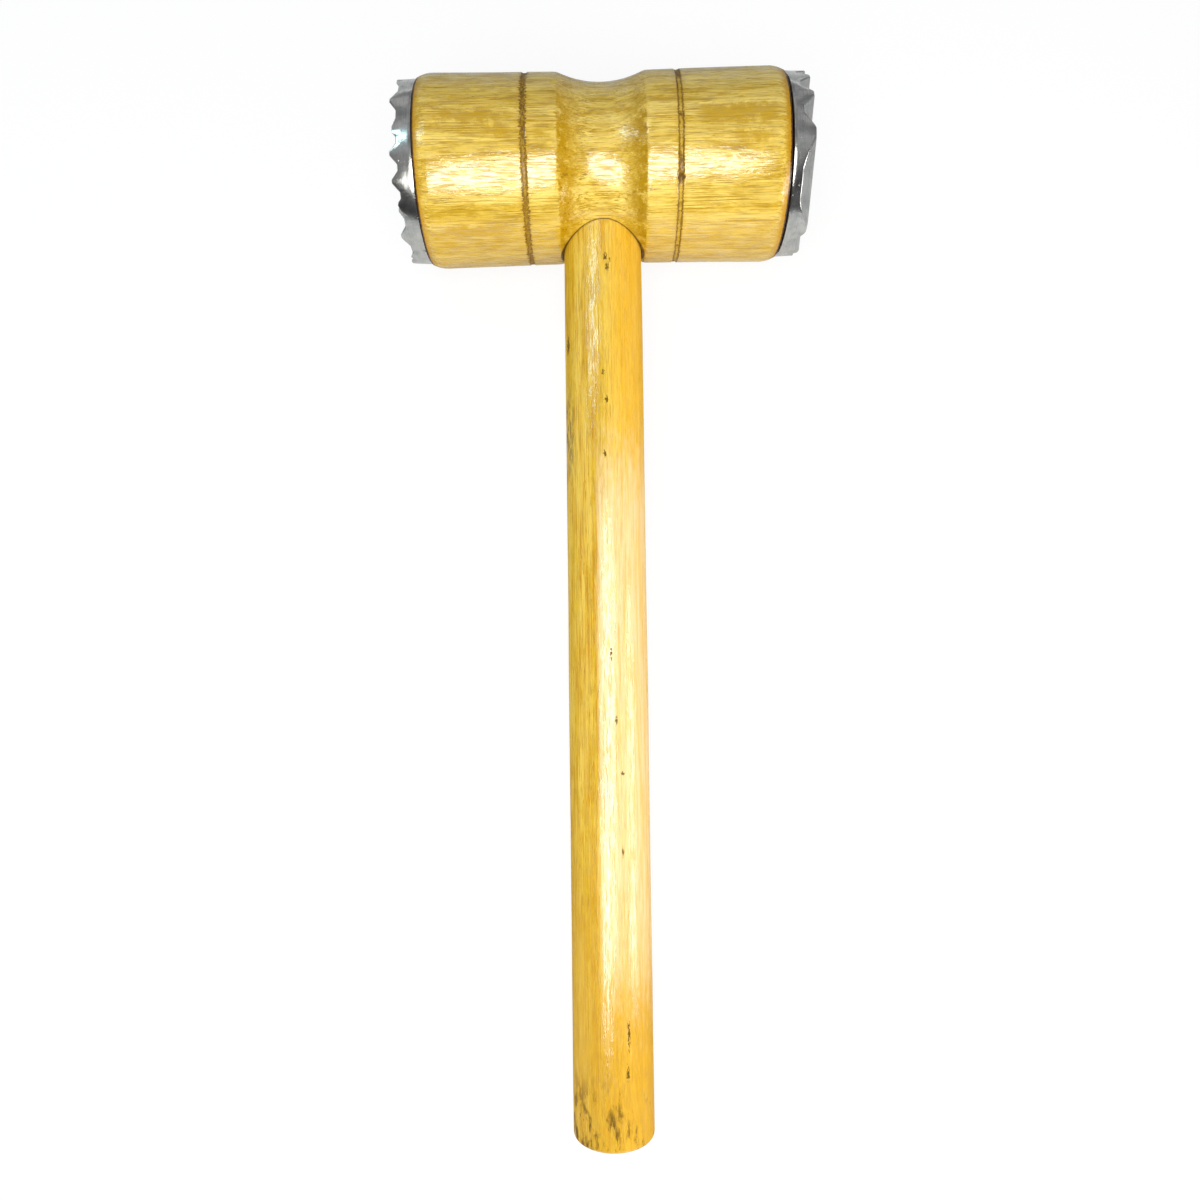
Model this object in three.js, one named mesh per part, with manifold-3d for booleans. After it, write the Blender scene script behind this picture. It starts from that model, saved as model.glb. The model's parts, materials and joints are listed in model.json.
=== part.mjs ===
// A wooden meat mallet with two cast metal faces, lying on its side as it rests on a table.
// Millimetres, +Z up. The barrel lies along X with the fine face at -X, and the handle points to -Y.
// The origin is on the table, below the middle of the mallet's outer box.
import * as THREE from "three";
import { mergeVertices } from "three/addons/utils/BufferGeometryUtils.js";
import Module from "manifold-3d";

const wasm = await Module();
wasm.setup();

// Barrel, turned from one hardwood blank with the grain along it
const barrelLength = 100;
const barrelEndDiameter = 51.1;
const barrelLipDiameter = 50.2;
const waistDiameter = 44.9;
const coveWidth = 24;
const shoulderLength = 4;
const shoulderDrop = 0.95;
const grooveSpacing = 41.6;
const grooveWidth = 2;
const grooveDepth = 0.6;

// Handle, a straight dowel; its reach is from the barrel's axis to its far end
const handleDiameter = 22;
const handleReach = 269.5;
const handleEndRounding = 1.5;
const handleLeanDegrees = 0.55;

// Wedge in the sawn end of the handle, measured down from the waist of the barrel
const wedgeDepth = 16;
const wedgeThickEnd = 3;
const wedgeThinEnd = 0.8;
const kerfRun = 2.5;

// Cast faces
const capDiameter = 48.5;
const capBackChamfer = 0.6;
const fineCapThickness = 3.9;
const coarseCapThickness = 3.1;
const screwLandDiameter = 10;

// Fine teeth: blunt square pyramids on a square grid, a valley crossing in the middle
const pyramidPitch = 6.7;
const pyramidBase = 5.2;
const pyramidFlat = 0.85;
const pyramidHeight = 1.85;
const pyramidTurnDegrees = 23.4;

// Coarse teeth: straight blunt ridges side by side, one of them this far from the middle
const ridgePitch = 7.8;
const ridgeBase = 6.1;
const ridgeFlat = 1.2;
const ridgeHeight = 3;
const ridgeOffset = 2.8;
const ridgeTurnDegrees = 38.5;

// Countersunk slotted wood screws, one through the middle of each cast face
const screwLength = 25;
const screwShankDiameter = 3.5;
const screwHeadDiameter = 7;
const screwHeadEdge = 0.25;
const screwPointLength = 5;
const screwSunk = 0.2;
const slotWidth = 0.9;
const slotDepth = 1;

// Clearances: glue line and press fits, the seam under each cast face, and room past a screw's point
const fitGap = 0.3;
const seamGap = 0.4;
const pilotRun = 1;

// Facets of the round pieces
const barrelFacets = 64;
const handleFacets = 40;
const screwFacets = 20;
const coveSteps = 8;
const roundingSteps = 4;

const barrelEndRadius = barrelEndDiameter / 2;
const barrelLipRadius = barrelLipDiameter / 2;
const waistRadius = waistDiameter / 2;
const handleRadius = handleDiameter / 2;
const capRadius = capDiameter / 2;
const shankRadius = screwShankDiameter / 2;
const screwHeadRadius = screwHeadDiameter / 2;
const lean = THREE.MathUtils.degToRad(handleLeanDegrees);

const barrelWood = new THREE.MeshStandardMaterial({ color: 0xd2ab4b, roughness: 0.4, metalness: 0 });
const handleWood = new THREE.MeshStandardMaterial({ color: 0xe0b155, roughness: 0.5, metalness: 0 });
const wedgeWood = new THREE.MeshStandardMaterial({ color: 0xb98f4e, roughness: 0.6, metalness: 0 });
const castMetal = new THREE.MeshStandardMaterial({ color: 0xa9acac, roughness: 0.25, metalness: 1 });
const screwSteel = new THREE.MeshStandardMaterial({ color: 0x8d8f8f, roughness: 0.35, metalness: 1 });

// A closed geometry as a solid that can be cut and joined
function solid(geometry) {
  const bare = geometry.clone();
  bare.deleteAttribute("normal");
  bare.deleteAttribute("uv");
  const merged = mergeVertices(bare, 1e-4);
  const vertProperties = merged.attributes.position.array;
  const triVerts = new Uint32Array(merged.index.array);
  return new wasm.Manifold(new wasm.Mesh({ numProp: 3, vertProperties, triVerts }));
}

// A cut solid back as a geometry
function geometryOf(body) {
  const { vertProperties, triVerts } = body.getMesh();
  const geometry = new THREE.BufferGeometry();
  geometry.setAttribute("position", new THREE.BufferAttribute(new Float32Array(vertProperties), 3));
  geometry.setIndex(new THREE.BufferAttribute(new Uint32Array(triVerts), 1));
  geometry.computeVertexNormals();
  return geometry;
}

function named(name, body, material) {
  const mesh = new THREE.Mesh(geometryOf(body), material);
  mesh.name = name;
  return mesh;
}

// A turned shape about the Y axis from [radius, place along the axis] points, lowest first
function turned(profile, facets) {
  return new THREE.LatheGeometry(
    profile.map(([radius, along]) => new THREE.Vector2(radius, along)),
    facets,
  );
}

// A straight extrusion of [x, y] points, centred on the XY plane
function slab(outline, width) {
  const shape = new THREE.Shape(outline.map(([x, y]) => new THREE.Vector2(x, y)));
  const geometry = new THREE.ExtrudeGeometry(shape, { depth: width, bevelEnabled: false });
  return geometry.translate(0, 0, -width / 2);
}

// Radius of the circle that rises by sagitta over the given half chord
function arcRadius(halfChord, sagitta) {
  return (halfChord ** 2 + sagitta ** 2) / (2 * sagitta);
}

// Half of the barrel's outline, from the waist to one end: the cove, a groove in the taper, the shoulder
function halfBarrelProfile() {
  const points = [];
  const coveHalf = coveWidth / 2;
  const coveRadius = arcRadius(coveHalf, barrelLipRadius - waistRadius);
  const coveAngle = Math.asin(coveHalf / coveRadius);
  for (let step = 1; step <= coveSteps; step += 1) {
    const angle = (coveAngle * step) / coveSteps;
    points.push([waistRadius + coveRadius * (1 - Math.cos(angle)), coveRadius * Math.sin(angle)]);
  }
  const shoulderStart = barrelLength / 2 - shoulderLength;
  const taper = (barrelEndRadius - barrelLipRadius) / (shoulderStart - coveHalf);
  const radiusAt = (along) => barrelLipRadius + taper * (along - coveHalf);
  const groove = grooveSpacing / 2;
  points.push([radiusAt(groove - grooveWidth / 2), groove - grooveWidth / 2]);
  points.push([radiusAt(groove) - grooveDepth, groove - grooveWidth / 4]);
  points.push([radiusAt(groove) - grooveDepth, groove + grooveWidth / 4]);
  points.push([radiusAt(groove + grooveWidth / 2), groove + grooveWidth / 2]);
  const shoulderRadius = arcRadius(shoulderLength, shoulderDrop);
  const shoulderAngle = Math.asin(shoulderLength / shoulderRadius);
  for (let step = 0; step <= roundingSteps; step += 1) {
    const angle = (shoulderAngle * step) / roundingSteps;
    points.push([
      barrelEndRadius - shoulderRadius * (1 - Math.cos(angle)),
      shoulderStart + shoulderRadius * Math.sin(angle),
    ]);
  }
  points.push([0, barrelLength / 2]);
  return points;
}

// The barrel before it is bored, along X
function barrelBlank() {
  const half = halfBarrelProfile();
  const mirrored = half.map(([radius, along]) => [radius, -along]).reverse();
  return turned([...mirrored, [waistRadius, 0], ...half], barrelFacets).rotateZ(-Math.PI / 2);
}

// A hole for a screw in one end of the barrel; side is -1 or 1
function pilotHole(side, capThickness) {
  const depth = screwLength + screwSunk - capThickness - seamGap + pilotRun;
  const hole = new THREE.CylinderGeometry(
    shankRadius + fitGap,
    shankRadius + fitGap,
    depth * 2,
    screwFacets,
  );
  return solid(hole.rotateZ(Math.PI / 2).translate((side * barrelLength) / 2, 0, 0));
}

function head() {
  const boreRadius = handleRadius + fitGap;
  const bore = new THREE.CylinderGeometry(
    boreRadius,
    boreRadius,
    barrelEndDiameter * 2,
    handleFacets,
  ).rotateZ(-lean);
  return solid(barrelBlank())
    .subtract(solid(bore))
    .subtract(pilotHole(-1, fineCapThickness))
    .subtract(pilotHole(1, coarseCapThickness));
}

// What is sanded off above the barrel's surface, in the leaning frame of the handle
function sandedOff() {
  const stub = new THREE.BoxGeometry(barrelEndDiameter, barrelEndDiameter, barrelEndDiameter);
  stub.translate(0, barrelEndRadius, 0);
  return solid(stub).subtract(solid(barrelBlank().rotateZ(lean)));
}

// The wedge seen from the side; the kerf it is driven into is wider by a gap on each face and runs deeper
function wedgeOutline(gap, run) {
  const thinAt = waistRadius - wedgeDepth;
  const taper = (wedgeThickEnd - wedgeThinEnd) / wedgeDepth;
  const halfAt = (height) => (wedgeThinEnd + taper * (height - thinAt)) / 2 + gap;
  const bottom = thinAt - run;
  const top = barrelEndRadius;
  return [
    [-halfAt(bottom), bottom],
    [halfAt(bottom), bottom],
    [halfAt(top), top],
    [-halfAt(top), top],
  ];
}

function handle() {
  const points = [[0, -handleReach]];
  for (let step = 0; step <= roundingSteps; step += 1) {
    const angle = (Math.PI / 2) * (step / roundingSteps);
    points.push([
      handleRadius - handleEndRounding * (1 - Math.sin(angle)),
      -handleReach + handleEndRounding * (1 - Math.cos(angle)),
    ]);
  }
  points.push([handleRadius, barrelEndRadius]);
  points.push([0, barrelEndRadius]);
  const kerf = solid(slab(wedgeOutline(fitGap, kerfRun), handleDiameter * 2));
  return solid(turned(points, handleFacets)).subtract(kerf).subtract(sandedOff());
}

function handleWedge() {
  const blank = slab(wedgeOutline(0, 0), handleDiameter - 2 * fitGap);
  return solid(blank).subtract(sandedOff());
}

// A plain cast disc with its back at z = 0, cast teeth on its front and a countersunk hole on a bare land
function castFace(thickness, teeth, toothHeight) {
  const disc = turned(
    [
      [0, 0],
      [capRadius - capBackChamfer, 0],
      [capRadius, capBackChamfer],
      [capRadius, thickness],
      [0, thickness],
    ],
    barrelFacets,
  ).rotateX(Math.PI / 2);
  const rootDepth = thickness / 2;
  const toothZone = new THREE.CylinderGeometry(
    capRadius,
    capRadius,
    toothHeight + rootDepth,
    barrelFacets,
  );
  toothZone.rotateX(Math.PI / 2).translate(0, 0, thickness + (toothHeight - rootDepth) / 2);
  const landRadius = screwLandDiameter / 2;
  const land = new THREE.CylinderGeometry(
    landRadius + toothHeight,
    landRadius,
    toothHeight,
    handleFacets,
  );
  land.rotateX(Math.PI / 2).translate(0, 0, thickness + toothHeight / 2);
  const trimmed = teeth
    .map(solid)
    .reduce((joined, tooth) => joined.add(tooth))
    .intersect(solid(toothZone))
    .subtract(solid(land));
  return solid(disc).add(trimmed).subtract(countersink(thickness));
}

// A blunt pyramid on a square base, rooted halfway down into a disc of the given thickness
function pyramid(thickness) {
  const corner = (pyramidBase / 2) * Math.SQRT2;
  const flatCorner = (pyramidFlat / 2) * Math.SQRT2;
  const profile = [
    [0, -thickness / 2],
    [corner, -thickness / 2],
    [corner, 0],
    [flatCorner, pyramidHeight],
    [0, pyramidHeight],
  ];
  return turned(profile, 4).rotateX(Math.PI / 2).rotateZ(Math.PI / 4).translate(0, 0, thickness);
}

// A blunt ridge right across a disc of the given thickness, rooted halfway down into it
function ridge(thickness) {
  const outline = [
    [-ridgeBase / 2, -thickness / 2],
    [ridgeBase / 2, -thickness / 2],
    [ridgeBase / 2, 0],
    [ridgeFlat / 2, ridgeHeight],
    [-ridgeFlat / 2, ridgeHeight],
    [-ridgeBase / 2, 0],
  ];
  return slab(outline, capDiameter + ridgeBase).rotateX(Math.PI / 2).translate(0, 0, thickness);
}

function fineCap() {
  const teeth = [];
  const turn = -THREE.MathUtils.degToRad(pyramidTurnDegrees);
  const rows = Math.ceil(capRadius / pyramidPitch);
  for (let row = -rows; row < rows; row += 1) {
    for (let column = -rows; column < rows; column += 1) {
      const x = (column + 0.5) * pyramidPitch;
      const y = (row + 0.5) * pyramidPitch;
      if (Math.hypot(x, y) < capRadius + pyramidBase / 2) {
        teeth.push(pyramid(fineCapThickness).translate(x, y, 0).rotateZ(turn));
      }
    }
  }
  return castFace(fineCapThickness, teeth, pyramidHeight);
}

function coarseCap() {
  const teeth = [];
  const turn = THREE.MathUtils.degToRad(ridgeTurnDegrees);
  const rows = Math.ceil((capRadius + ridgeOffset) / ridgePitch);
  for (let row = -rows; row <= rows; row += 1) {
    const x = ridgeOffset + row * ridgePitch;
    if (Math.abs(x) < capRadius + ridgeBase / 2) {
      teeth.push(ridge(coarseCapThickness).translate(x, 0, 0).rotateZ(turn));
    }
  }
  return castFace(coarseCapThickness, teeth, ridgeHeight);
}

// A screw's outline from its point up, its head's top at zero, widened by a clearance when it cuts a hole
function screwProfile(shankGap, headGap) {
  const coneStart = -screwHeadEdge - (screwHeadRadius - shankRadius);
  return [
    [0, -screwLength],
    [shankRadius + shankGap, -screwLength + screwPointLength],
    [shankRadius + shankGap, coneStart - headGap + shankGap],
    [screwHeadRadius + headGap, -screwHeadEdge],
    [screwHeadRadius + headGap, 0],
  ];
}

// The seat that the screw's head and shank pass through, opened up to the air above the land
function countersink(thickness) {
  const top = thickness - screwSunk;
  const above = screwHeadRadius;
  const profile = screwProfile(fitGap, fitGap * Math.SQRT2);
  profile.push([screwHeadRadius + fitGap * Math.SQRT2, above]);
  profile.push([0, above]);
  return solid(turned(profile, screwFacets).rotateX(Math.PI / 2).translate(0, 0, top));
}

function screw(thickness) {
  const body = solid(turned([...screwProfile(0, 0), [0, 0]], screwFacets).rotateX(Math.PI / 2));
  const slot = new THREE.BoxGeometry(screwHeadDiameter * 2, slotWidth, slotDepth * 2);
  return body.subtract(solid(slot)).translate([0, 0, thickness - screwSunk]);
}

// One end of the barrel: a cast face and its screw, facing away from the barrel along X
function barrelEnd(side, face, screwName, thickness) {
  const end = new THREE.Group();
  end.add(face);
  end.add(named(screwName, screw(thickness), screwSteel));
  end.rotation.y = (side * Math.PI) / 2;
  end.position.x = side * (barrelLength / 2 + seamGap);
  return end;
}

const mallet = new THREE.Group();
mallet.add(named("head", head(), barrelWood));
mallet.add(
  barrelEnd(-1, named("fine_cap", fineCap(), castMetal), "fine_cap_screw", fineCapThickness),
);
mallet.add(
  barrelEnd(1, named("coarse_cap", coarseCap(), castMetal), "coarse_cap_screw", coarseCapThickness),
);

const wedgedHandle = new THREE.Group();
wedgedHandle.add(named("handle", handle(), handleWood));
wedgedHandle.add(named("handle_wedge", handleWedge(), wedgeWood));
wedgedHandle.rotation.z = -lean;
mallet.add(wedgedHandle);

// The barrel and the rounding at the handle's far end both touch the table, which sets the handle's droop
const footReach = handleReach - handleEndRounding;
const footRadius = handleRadius - handleEndRounding;
const footRise = barrelEndRadius - handleEndRounding;
const footSlope = Math.asin(footRise / Math.hypot(footReach, footRadius));
mallet.rotation.x = footSlope - Math.atan2(footRadius, footReach);

mallet.updateMatrixWorld(true);
const box = new THREE.Box3().setFromObject(mallet, true);
mallet.position.set(-(box.min.x + box.max.x) / 2, -(box.min.y + box.max.y) / 2, -box.min.z);

const tenderizer = new THREE.Group();
tenderizer.add(mallet);

export default tenderizer;
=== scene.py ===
"""A wooden meat mallet with two cast faces, lying on a pale table as it is photographed from above."""
import json
import math

import bmesh
import bpy
from mathutils import Euler, Matrix, Vector, noise


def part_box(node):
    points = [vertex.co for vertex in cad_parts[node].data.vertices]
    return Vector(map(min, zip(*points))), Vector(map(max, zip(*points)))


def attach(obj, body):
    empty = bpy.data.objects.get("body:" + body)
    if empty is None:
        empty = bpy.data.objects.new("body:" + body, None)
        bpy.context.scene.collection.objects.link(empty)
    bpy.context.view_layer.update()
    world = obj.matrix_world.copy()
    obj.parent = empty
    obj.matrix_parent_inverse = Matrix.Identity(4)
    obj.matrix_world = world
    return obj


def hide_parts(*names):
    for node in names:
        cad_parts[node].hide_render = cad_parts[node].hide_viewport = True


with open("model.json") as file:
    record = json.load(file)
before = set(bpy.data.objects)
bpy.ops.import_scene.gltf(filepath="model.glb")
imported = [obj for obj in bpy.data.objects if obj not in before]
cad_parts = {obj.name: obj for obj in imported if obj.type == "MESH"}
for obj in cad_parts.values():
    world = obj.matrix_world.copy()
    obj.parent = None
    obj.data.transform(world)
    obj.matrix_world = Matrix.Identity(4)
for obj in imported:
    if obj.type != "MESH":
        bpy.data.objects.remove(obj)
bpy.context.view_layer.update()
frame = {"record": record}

# Barrel: one turned blank of beech with the grain along it, a cove round its waist, two scored grooves
# and softly rounded shoulders, bored for the handle and for the screws of the cast faces. It was
# varnished by hand and has yellowed, with dirt in the grooves and at the edges of the cove.
mm = 0.001

# How the mallet lies. Each piece is made about the middle of the barrel, with the barrel along X and the
# handle towards -Y, and is then laid in place: the handle droops until its far end meets the table, and
# its bore was drilled a touch out of square.
barrel_low, barrel_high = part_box("head")
barrel_middle = (barrel_low + barrel_high) / 2
handle_axis = Vector(frame["record"]["mounts"][0]["axis"])
droop = math.atan2(-handle_axis.z, -handle_axis.y)
lean = math.asin(-handle_axis.x)
laid = Matrix.Translation(barrel_middle) @ Matrix.Rotation(droop, 4, "X")
laid_leaning = laid @ Matrix.Rotation(-lean, 4, "Z")

barrel_length = 100 * mm
barrel_end_radius = 25.55 * mm
barrel_lip_radius = 25.1 * mm
waist_radius = 22.45 * mm
cove_half = 12 * mm
lip_softness = 0.35 * mm
shoulder_length = 4 * mm
shoulder_drop = 0.95 * mm
groove_place = 20.8 * mm
groove_half = 0.85 * mm
groove_depth = 0.26 * mm
pit_turn = math.radians(90 + 32.4)
pit_radius = 1.2 * mm
pit_depth = 0.5 * mm
barrel_sides = 240
barrel_step = 0.7 * mm
round_groove = 1.4 * mm
groove_step = 0.14 * mm
bore_radius = 11.15 * mm
pilot_radius = 2.05 * mm
pilot_depth = 23 * mm
pilot_reach = 60 * mm
between_radius = 5 * mm
cutter_reach = 40 * mm


def soft_least(a, b, softness):
    """The lesser of two values, blended where they are close."""
    blend = max(softness - abs(a - b), 0) / softness
    return min(a, b) - blend * blend * softness / 4


def arc_radius(half_chord, sagitta):
    """The radius of an arc from its half chord and its height."""
    return (half_chord**2 + sagitta**2) / (2 * sagitta)


def barrel_radius(x):
    """The turned radius at a place along the barrel, before any wear."""
    x = abs(x)
    cove_arc = arc_radius(cove_half, barrel_lip_radius - waist_radius)
    cove = waist_radius + cove_arc - math.sqrt(max(cove_arc**2 - x**2, 0))
    shoulder_start = barrel_length / 2 - shoulder_length
    taper = (barrel_end_radius - barrel_lip_radius) / (shoulder_start - cove_half)
    radius = soft_least(cove, barrel_lip_radius + taper * (x - cove_half), lip_softness)
    past = x - shoulder_start
    if past > 0:
        shoulder_arc = arc_radius(shoulder_length, shoulder_drop)
        radius = barrel_end_radius - shoulder_arc + math.sqrt(shoulder_arc**2 - past**2)
    return radius


def groove_cut(x, ragged):
    """How deep the scored groove is at a place along the barrel; ragged shifts and deepens it."""
    across = (abs(x) - groove_place) / groove_half + 0.18 * ragged
    if abs(across) >= 1:
        return 0
    return groove_depth * (1 + 0.5 * ragged) * (1 - across**4) ** 1.5


def barrel_point(x, turn):
    """A point of the barrel's skin, with the wear, tool marks and ragged grooves of the real one."""
    way = Vector((0, math.cos(turn), math.sin(turn)))
    pattern_radius = 25
    place = Vector((x, 0, 0)) / mm + way * pattern_radius
    radius = barrel_radius(x)
    ragged = noise.noise(place * 0.35 + Vector((40, 0, 0)))
    cut = groove_cut(x, ragged)
    worn = 0.09 * mm * noise.noise(place * 0.06)
    ripple = 0.02 * mm * noise.noise(Vector((place.x * 0.9, way.y * 2, way.z * 2)))
    fibre = 0.014 * mm * noise.noise(Vector((place.x * 0.06, place.y * 1.1, place.z * 1.1)))
    ripple *= 1 if abs(x) < cove_half else 0.4
    from_pit = math.hypot(x - groove_place, radius * (turn - pit_turn))
    pit = pit_depth * max(1 - (from_pit / pit_radius) ** 2, 0)
    return Vector((x, 0, 0)) + way * (radius - cut - pit + worn + ripple + fibre)


def stations(low, high, step, fine_places=(), fine_half=0, fine_step=1):
    """Places from low to high, a step apart, and closer together round the fine places."""
    places = {low, high}
    places.update(low + index * step for index in range(1, int((high - low) / step)))
    for middle in fine_places:
        places = {place for place in places if abs(place - middle) > fine_half}
        count = round(2 * fine_half / fine_step)
        places.update(middle - fine_half + index * fine_step for index in range(count + 1))
    return sorted(places)


def skin(name, rings):
    """A closed mesh object through rings of equally many points; a ring of one point closes an end."""
    points = [point for ring in rings for point in ring]
    faces = []
    start = 0
    for ring, following in zip(rings, rings[1:]):
        after = start + len(ring)
        count = max(len(ring), len(following))
        for index in range(count):
            beside = (index + 1) % count
            if len(ring) == 1:
                faces.append((start, after + index, after + beside))
            elif len(following) == 1:
                faces.append((start + index, after, start + beside))
            else:
                faces.append((start + index, after + index, after + beside, start + beside))
        start = after
    mesh = bpy.data.meshes.new(name)
    mesh.from_pydata(points, [], faces)
    shape = bmesh.new()
    shape.from_mesh(mesh)
    bmesh.ops.recalc_face_normals(shape, faces=shape.faces)
    shape.to_mesh(mesh)
    shape.free()
    piece = bpy.data.objects.new(name, mesh)
    bpy.context.scene.collection.objects.link(piece)
    return piece


def rod(name, radius, low, high, sides=96):
    """A plain cutter along Y."""
    turns = [2 * math.pi * index / sides for index in range(sides)]
    rings = [[Vector((0, low, 0))]]
    for y in (low, high):
        rings.append([Vector((radius * math.sin(turn), y, radius * math.cos(turn))) for turn in turns])
    rings.append([Vector((0, high, 0))])
    return skin(name, rings)


def solidified(piece):
    """Turns a piece's modifiers into its plain mesh."""
    evaluated = piece.evaluated_get(bpy.context.evaluated_depsgraph_get())
    mesh = bpy.data.meshes.new_from_object(evaluated)
    piece.modifiers.clear()
    piece.data = mesh


def carved(piece, *cutters):
    """Cuts the piece with each cutter in turn and drops the cutters."""
    for cutter in cutters:
        cut = piece.modifiers.new("cut", "BOOLEAN")
        cut.operation = "DIFFERENCE"
        cut.solver = "MANIFOLD"
        cut.object = cutter
    bpy.context.view_layer.update()
    solidified(piece)
    for cutter in cutters:
        bpy.data.objects.remove(cutter)
    return piece


def finished(piece, place, crease_degrees=32):
    """Lays the piece in its place and shades it smooth between its real edges."""
    piece.data.transform(place)
    piece.data.shade_smooth()
    piece.data.set_sharp_from_angle(angle=math.radians(crease_degrees))


def turned_barrel(name):
    """The barrel before it is bored."""
    turns = [2 * math.pi * index / barrel_sides for index in range(barrel_sides)]
    end = barrel_length / 2
    grooves = (-groove_place, groove_place)
    places = stations(-end, end, barrel_step, grooves, round_groove, groove_step)
    rings = [[barrel_point(place, turn) for turn in turns] for place in places]
    for side, outer in ((-1, rings[0]), (1, rings[-1])):
        faces = [[Vector((side * end, p.y * share, p.z * share)) for p in outer] for share in (0.9, 0.5)]
        faces.append([Vector((side * end, 0, 0))])
        rings = rings + faces if side > 0 else faces[::-1] + rings
    return skin(name, rings)


barrel = turned_barrel("turned_barrel")
bore = rod("bore", bore_radius, -cutter_reach, cutter_reach, sides=160)
bore.data.transform(Matrix.Rotation(-lean, 4, "Z"))
pilots = rod("pilots", pilot_radius, -pilot_reach, pilot_reach)
pilot_end = barrel_length / 2 - pilot_depth
between_pilots = rod("between_pilots", between_radius, -pilot_end, pilot_end)
for cutter in (pilots, between_pilots):
    cutter.data.transform(Matrix.Rotation(math.pi / 2, 4, "Z"))
carved(pilots, between_pilots)
carved(barrel, bore, pilots)
finished(barrel, laid)


def fed(node, inputs):
    """Gives a node its inputs, each a plain value or another node's output."""
    for key, value in inputs.items():
        if isinstance(value, bpy.types.NodeSocket):
            node.id_data.links.new(value, node.inputs[key])
        else:
            node.inputs[key].default_value = value
    return node


def added(tree, kind, inputs, **settings):
    """A new node of a kind, with its settings and its inputs."""
    node = tree.nodes.new(kind)
    for name, value in settings.items():
        setattr(node, name, value)
    return fed(node, inputs)


def number(operation, *values):
    """A Math node's result, in the tree that its values come from."""
    tree = next(value.id_data for value in values if isinstance(value, bpy.types.NodeSocket))
    return added(tree, "ShaderNodeMath", dict(enumerate(values)), operation=operation).outputs[0]


def times(a, b):
    return number("MULTIPLY", a, b)


def times_plus(a, b, c):
    return number("MULTIPLY_ADD", a, b, c)


def minus(a, b):
    return number("SUBTRACT", a, b)


def larger(a, b):
    return number("MAXIMUM", a, b)


def remap(value, low, high, to_low=0.0, to_high=1.0):
    """Carries a value smoothly from one range to another and holds it there."""
    ranges = {"Value": value, "From Min": low, "From Max": high, "To Min": to_low, "To Max": to_high}
    node = added(value.id_data, "ShaderNodeMapRange", ranges, interpolation_type="SMOOTHSTEP")
    return node.outputs[0]


def grained(place, along, across, detail=2.0, shift=0.0, roughness=0.5):
    """A noise value over a place in millimetres, stretched by its scales along and across the grain."""
    stretched = {"Vector": place, "Scale": (along, across, across), "Location": (shift, shift, shift)}
    stretched = added(place.id_data, "ShaderNodeMapping", stretched).outputs["Vector"]
    pattern = {"Vector": stretched, "Scale": 1, "Detail": detail, "Roughness": roughness}
    return added(place.id_data, "ShaderNodeTexNoise", pattern).outputs["Fac"]


def stained(colour, over, amount):
    """Mixes a colour over another by an amount from 0 to 1."""
    mixed = {0: amount, 6: colour, 7: over}
    return added(amount.id_data, "ShaderNodeMix", mixed, data_type="RGBA").outputs[2]


def bumped(height, relief):
    """A bump of a height from 0 to 1, as deep as the relief."""
    bump = {"Distance": relief, "Height": height}
    return added(height.id_data, "ShaderNodeBump", bump).outputs["Normal"]


def new_finish(name, place):
    """A new material, its shader, and a piece's own place in millimetres, X along the grain."""
    material = bpy.data.materials.new(name)
    material.use_nodes = True
    tree = material.node_tree
    own = {
        "Vector": tree.nodes.new("ShaderNodeTexCoord").outputs["Object"],
        "Location": place.translation,
        "Rotation": place.to_euler(),
    }
    own = added(tree, "ShaderNodeMapping", own, vector_type="TEXTURE").outputs["Vector"]
    spot = added(tree, "ShaderNodeVectorMath", {0: own, "Scale": 1 / mm}, operation="SCALE")
    return material, tree.nodes["Principled BSDF"], spot.outputs["Vector"]


varnish_relief = 0.16 * mm
grain_relief = 0.06 * mm


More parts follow.
